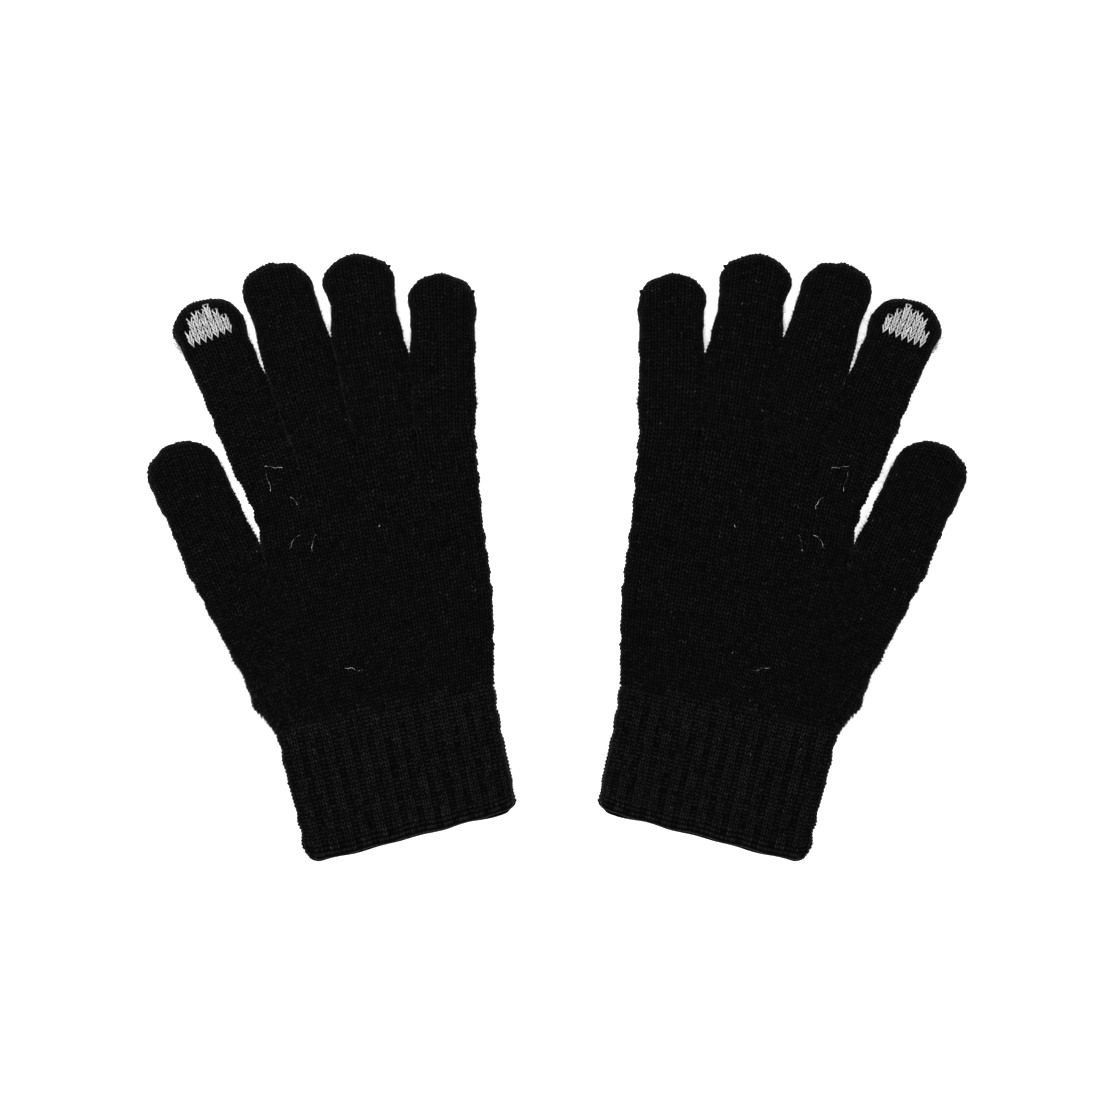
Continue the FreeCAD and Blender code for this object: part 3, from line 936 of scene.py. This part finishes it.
def yarn_material(name, greys, rough, gloss, sheen, fibre_scale, bump):
    """Knitted yarn: painted shade in the gaps between stitches, painted highlights on the highest crowns,
    lighter on loose fibres, with the sheen of fuzz.

    greys are those of the gaps (painted shade), of a stitch's crown, of its brightest spots (painted
    highlight, mixed with the fibres' own unevenness) and of stray fibres.
    """
    material, tree, shader = new_material(name)
    place = node(tree, "ShaderNodeTexCoord")
    height = node(tree, "ShaderNodeAttribute", attribute_name="stitch_height")
    fibres = node(tree, "ShaderNodeTexNoise", {"Vector": place.outputs["Object"], "Scale": fibre_scale,
                                               "Detail": 3.0, "Roughness": 0.65})
    patches = node(tree, "ShaderNodeTexNoise", {"Vector": place.outputs["Object"], "Scale": PATCH_SCALE,
                                                "Detail": 2.0, "Roughness": 0.5})
    both = node(tree, "ShaderNodeMath", {0: fibres.outputs["Fac"], 1: patches.outputs["Fac"]},
                operation="ADD")
    # The stitch height sets the grey: low points, in the gaps, get painted shade, and the highest crowns get
    # painted highlights.
    level = node(tree, "ShaderNodeMath", {0: both.outputs[0], 1: height.outputs["Fac"]},
                 operation="MULTIPLY")
    halved = node(tree, "ShaderNodeMath", {0: level.outputs[0], 1: 0.5}, operation="MULTIPLY")
    ramp = node(tree, "ShaderNodeValToRGB", {"Fac": halved.outputs[0]})
    for place_on_ramp, grey in zip((0.17, 0.55, 0.8, 1.0), greys):
        element = ramp.color_ramp.elements.new(place_on_ramp)
        element.color = (grey, grey, grey, 1)
    ramp.color_ramp.elements.remove(ramp.color_ramp.elements[-1])
    ramp.color_ramp.elements.remove(ramp.color_ramp.elements[0])
    relief = node(tree, "ShaderNodeBump", {"Height": fibres.outputs["Fac"], "Strength": bump,
                                           "Distance": 0.3 * MM})
    tree.links.new(ramp.outputs["Color"], shader.inputs["Base Color"])
    tree.links.new(relief.outputs["Normal"], shader.inputs["Normal"])
    shader.inputs["Roughness"].default_value = rough
    shader.inputs["Sheen Weight"].default_value = sheen
    shader.inputs["Sheen Roughness"].default_value = 0.3
    shader.inputs["Specular IOR Level"].default_value = gloss
    return material


# For both knits the first grey is painted shade in the gaps between stitches, and the third is a painted
# highlight on the highest crowns.
KNIT = yarn_material("black_knit", (0.0005, 0.0068, 0.026, 0.08),
                     rough=0.85, gloss=0.03, sheen=0.16, fibre_scale=2600.0, bump=0.25)
RIB = yarn_material("black_rib", (0.0005, 0.0135, 0.028, 0.08),
                    rough=0.85, gloss=0.03, sheen=0.16, fibre_scale=2600.0, bump=0.25)
# The conductive yarn's first grey is painted shade along the sides of its loops.
CONDUCTIVE = yarn_material("conductive_yarn", (0.03, 0.74, 0.82, 0.85),
                           rough=0.55, gloss=0.3, sheen=0.0, fibre_scale=2200.0, bump=0.3)
ELASTIC = yarn_material("elastic_yarn", (0.004, 0.008, 0.012, 0.02),
                        rough=0.5, gloss=0.3, sheen=0.0, fibre_scale=1500.0, bump=0.2)


# -------- putting the pieces on their bodies


def make_skins(fingers, hand):
    """The skin of every piece of the left glove, by the node that it stands in for."""
    skins = {"hand": build_hand(hand)}
    add_hairs(skins["hand"], 2600, 11)
    add_stray_fibres(skins["hand"], STRAYS, 15)
    hem_start = CUFF_LENGTH - HEM_LENGTH
    skins["cuff_rib"] = build_cuff_part(hand.cuff, -CUFF_TUCK, hem_start, at_mouth=False)
    add_hairs(skins["cuff_rib"], 1200, 12)
    skins["cuff_hem"] = build_cuff_part(hand.cuff, hem_start, CUFF_LENGTH, at_mouth=True)
    add_hairs(skins["cuff_hem"], 300, 13)
    for number, (name, finger) in enumerate(fingers.items()):
        skins[name + "_base"] = finger.build(-1, finger.split_course)
        add_hairs(skins[name + "_base"], 400, 20 + number)
        skins[name + "_tip"] = finger.build(finger.split_course, finger.courses)
        add_hairs(skins[name + "_tip"], 900, 30 + number)
        if name in ("ring", "little"):
            add_nubs(skins[name + "_tip"], finger, 50 + number)
    skins["cuff_elastic"] = elastic_loops(hand.cuff)
    skins["touch_pad"] = pad_skin(fingers["index"])
    skins["yarn_tail"] = tuft_skin(fingers["index"])
    return skins


def place_glove(side, skins, fingers, hand):
    """Makes the pieces of one glove: each piece without a bend is put on the body it rides on, the others are
    fixed where they are, and the part each stands in for is hidden.
    """
    def add(piece_name, node_name, material, body, bend=None):
        """A piece rides on a body; a piece given a bend is only fixed where it is, and the bend's tube and
        places are not used.
        """
        piece = make_piece(piece_name, side, skins[node_name], material)
        if bend:
            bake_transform(piece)
        else:
            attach(piece, side + "_" + body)
        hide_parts(side + "_" + node_name)

    cuff_bend = ("cuff", hand.cuff, 0.0, CUFF_BEND)
    add("hand_knit", "hand", KNIT, "hand")
    add("cuff_rib_knit", "cuff_rib", RIB, "hand", cuff_bend)
    add("elastic_loops", "cuff_elastic", ELASTIC, "hand", cuff_bend)
    add("cuff_hem_knit", "cuff_hem", RIB, "cuff")
    for name, finger in fingers.items():
        base, tip = name + "_base", name + "_tip"
        split = finger.split_course * finger.straight / finger.straight_courses
        base_bend = (base, finger.tube, PAST_ROOT, split - BEFORE_SPLIT)
        tip_bend = (tip, finger.tube, split + AFTER_SPLIT, finger.base_length + PAST_HINGE)
        add(base + "_knit", base, KNIT, "hand", base_bend)
        add(tip + "_knit", tip, KNIT, base, tip_bend)
    add("touch_pad_knit", "touch_pad", CONDUCTIVE, "index_tip")
    add("yarn_tail_tuft", "yarn_tail", CONDUCTIVE, "index_tip")


def build_gloves():
    """Both gloves, the right one from the mirrored skins of the left one."""
    fingers = {name: Finger(name) for name in FINGERS}
    hand = Hand(fingers)
    skins = make_skins(fingers, hand)
    for side in ("left", "right"):
        place_glove(side, skins, fingers, hand)


build_gloves()


# -------- floor, light and camera

FLOOR_HALF = 3.0        # metres
CAMERA_WIDTH = 0.4178   # metres across the picture at the height of the gloves' sides
CAMERA_CENTRE = (0.0011, -0.0013)   # where the middle of the picture lies, in metres
LENS = 100.0            # mm
SENSOR = 36.0
# Name, place, size in metres and watts.
LAMPS = (("key", (-0.45, 0.5, 0.9), 0.7, 9.0),
         ("fill", (0.6, -0.4, 1.0), 0.9, 5.0))


def build_floor():
    """A pale floor just under the gloves."""
    mesh = bpy.data.meshes.new("floor")
    corners = [(x * FLOOR_HALF, y * FLOOR_HALF, 0) for x, y in ((-1, -1), (1, -1), (1, 1), (-1, 1))]
    mesh.from_pydata(corners, [], [(0, 1, 2, 3)])
    floor = bpy.data.objects.new("floor", mesh)
    floor.location.z = -0.4 * MM
    material, _, shader = new_material("pale_floor")
    shader.inputs["Base Color"].default_value = (0.95, 0.95, 0.95, 1)
    shader.inputs["Roughness"].default_value = 0.9
    shader.inputs["Emission Color"].default_value = (1, 1, 1, 1)
    shader.inputs["Emission Strength"].default_value = 0.8
    mesh.materials.append(material)
    bpy.context.scene.collection.objects.link(floor)


def build_lights():
    """White surroundings and two large soft lamps, aimed at the middle of the pair."""
    world = bpy.data.worlds.new("studio")
    world.use_nodes = True
    world.node_tree.nodes["Background"].inputs["Color"].default_value = (1, 1, 1, 1)
    world.node_tree.nodes["Background"].inputs["Strength"].default_value = 0.75
    bpy.context.scene.world = world
    for name, place, size, watts in LAMPS:
        lamp = bpy.data.lights.new(name, "AREA")
        lamp.size = size
        lamp.energy = watts
        light = bpy.data.objects.new(name, lamp)
        light.location = place
        aim = -np.array(place)
        tilt = math.acos(-aim[2] / np.linalg.norm(aim))
        turn = math.atan2(aim[1], aim[0]) - math.pi / 2
        light.rotation_euler = (tilt, 0, turn)
        bpy.context.scene.collection.objects.link(light)
    bpy.context.scene.view_settings.view_transform = "Standard"


def build_camera():
    """Straight above the pair, far off with a long lens."""
    camera = bpy.data.cameras.new("camera")
    camera.lens = LENS
    camera.sensor_width = SENSOR
    holder = bpy.data.objects.new("camera", camera)
    holder.location = (*CAMERA_CENTRE, HALF_LOFT * MM + CAMERA_WIDTH * LENS / SENSOR)
    bpy.context.scene.collection.objects.link(holder)
    bpy.context.scene.camera = holder


build_floor()
build_lights()
build_camera()
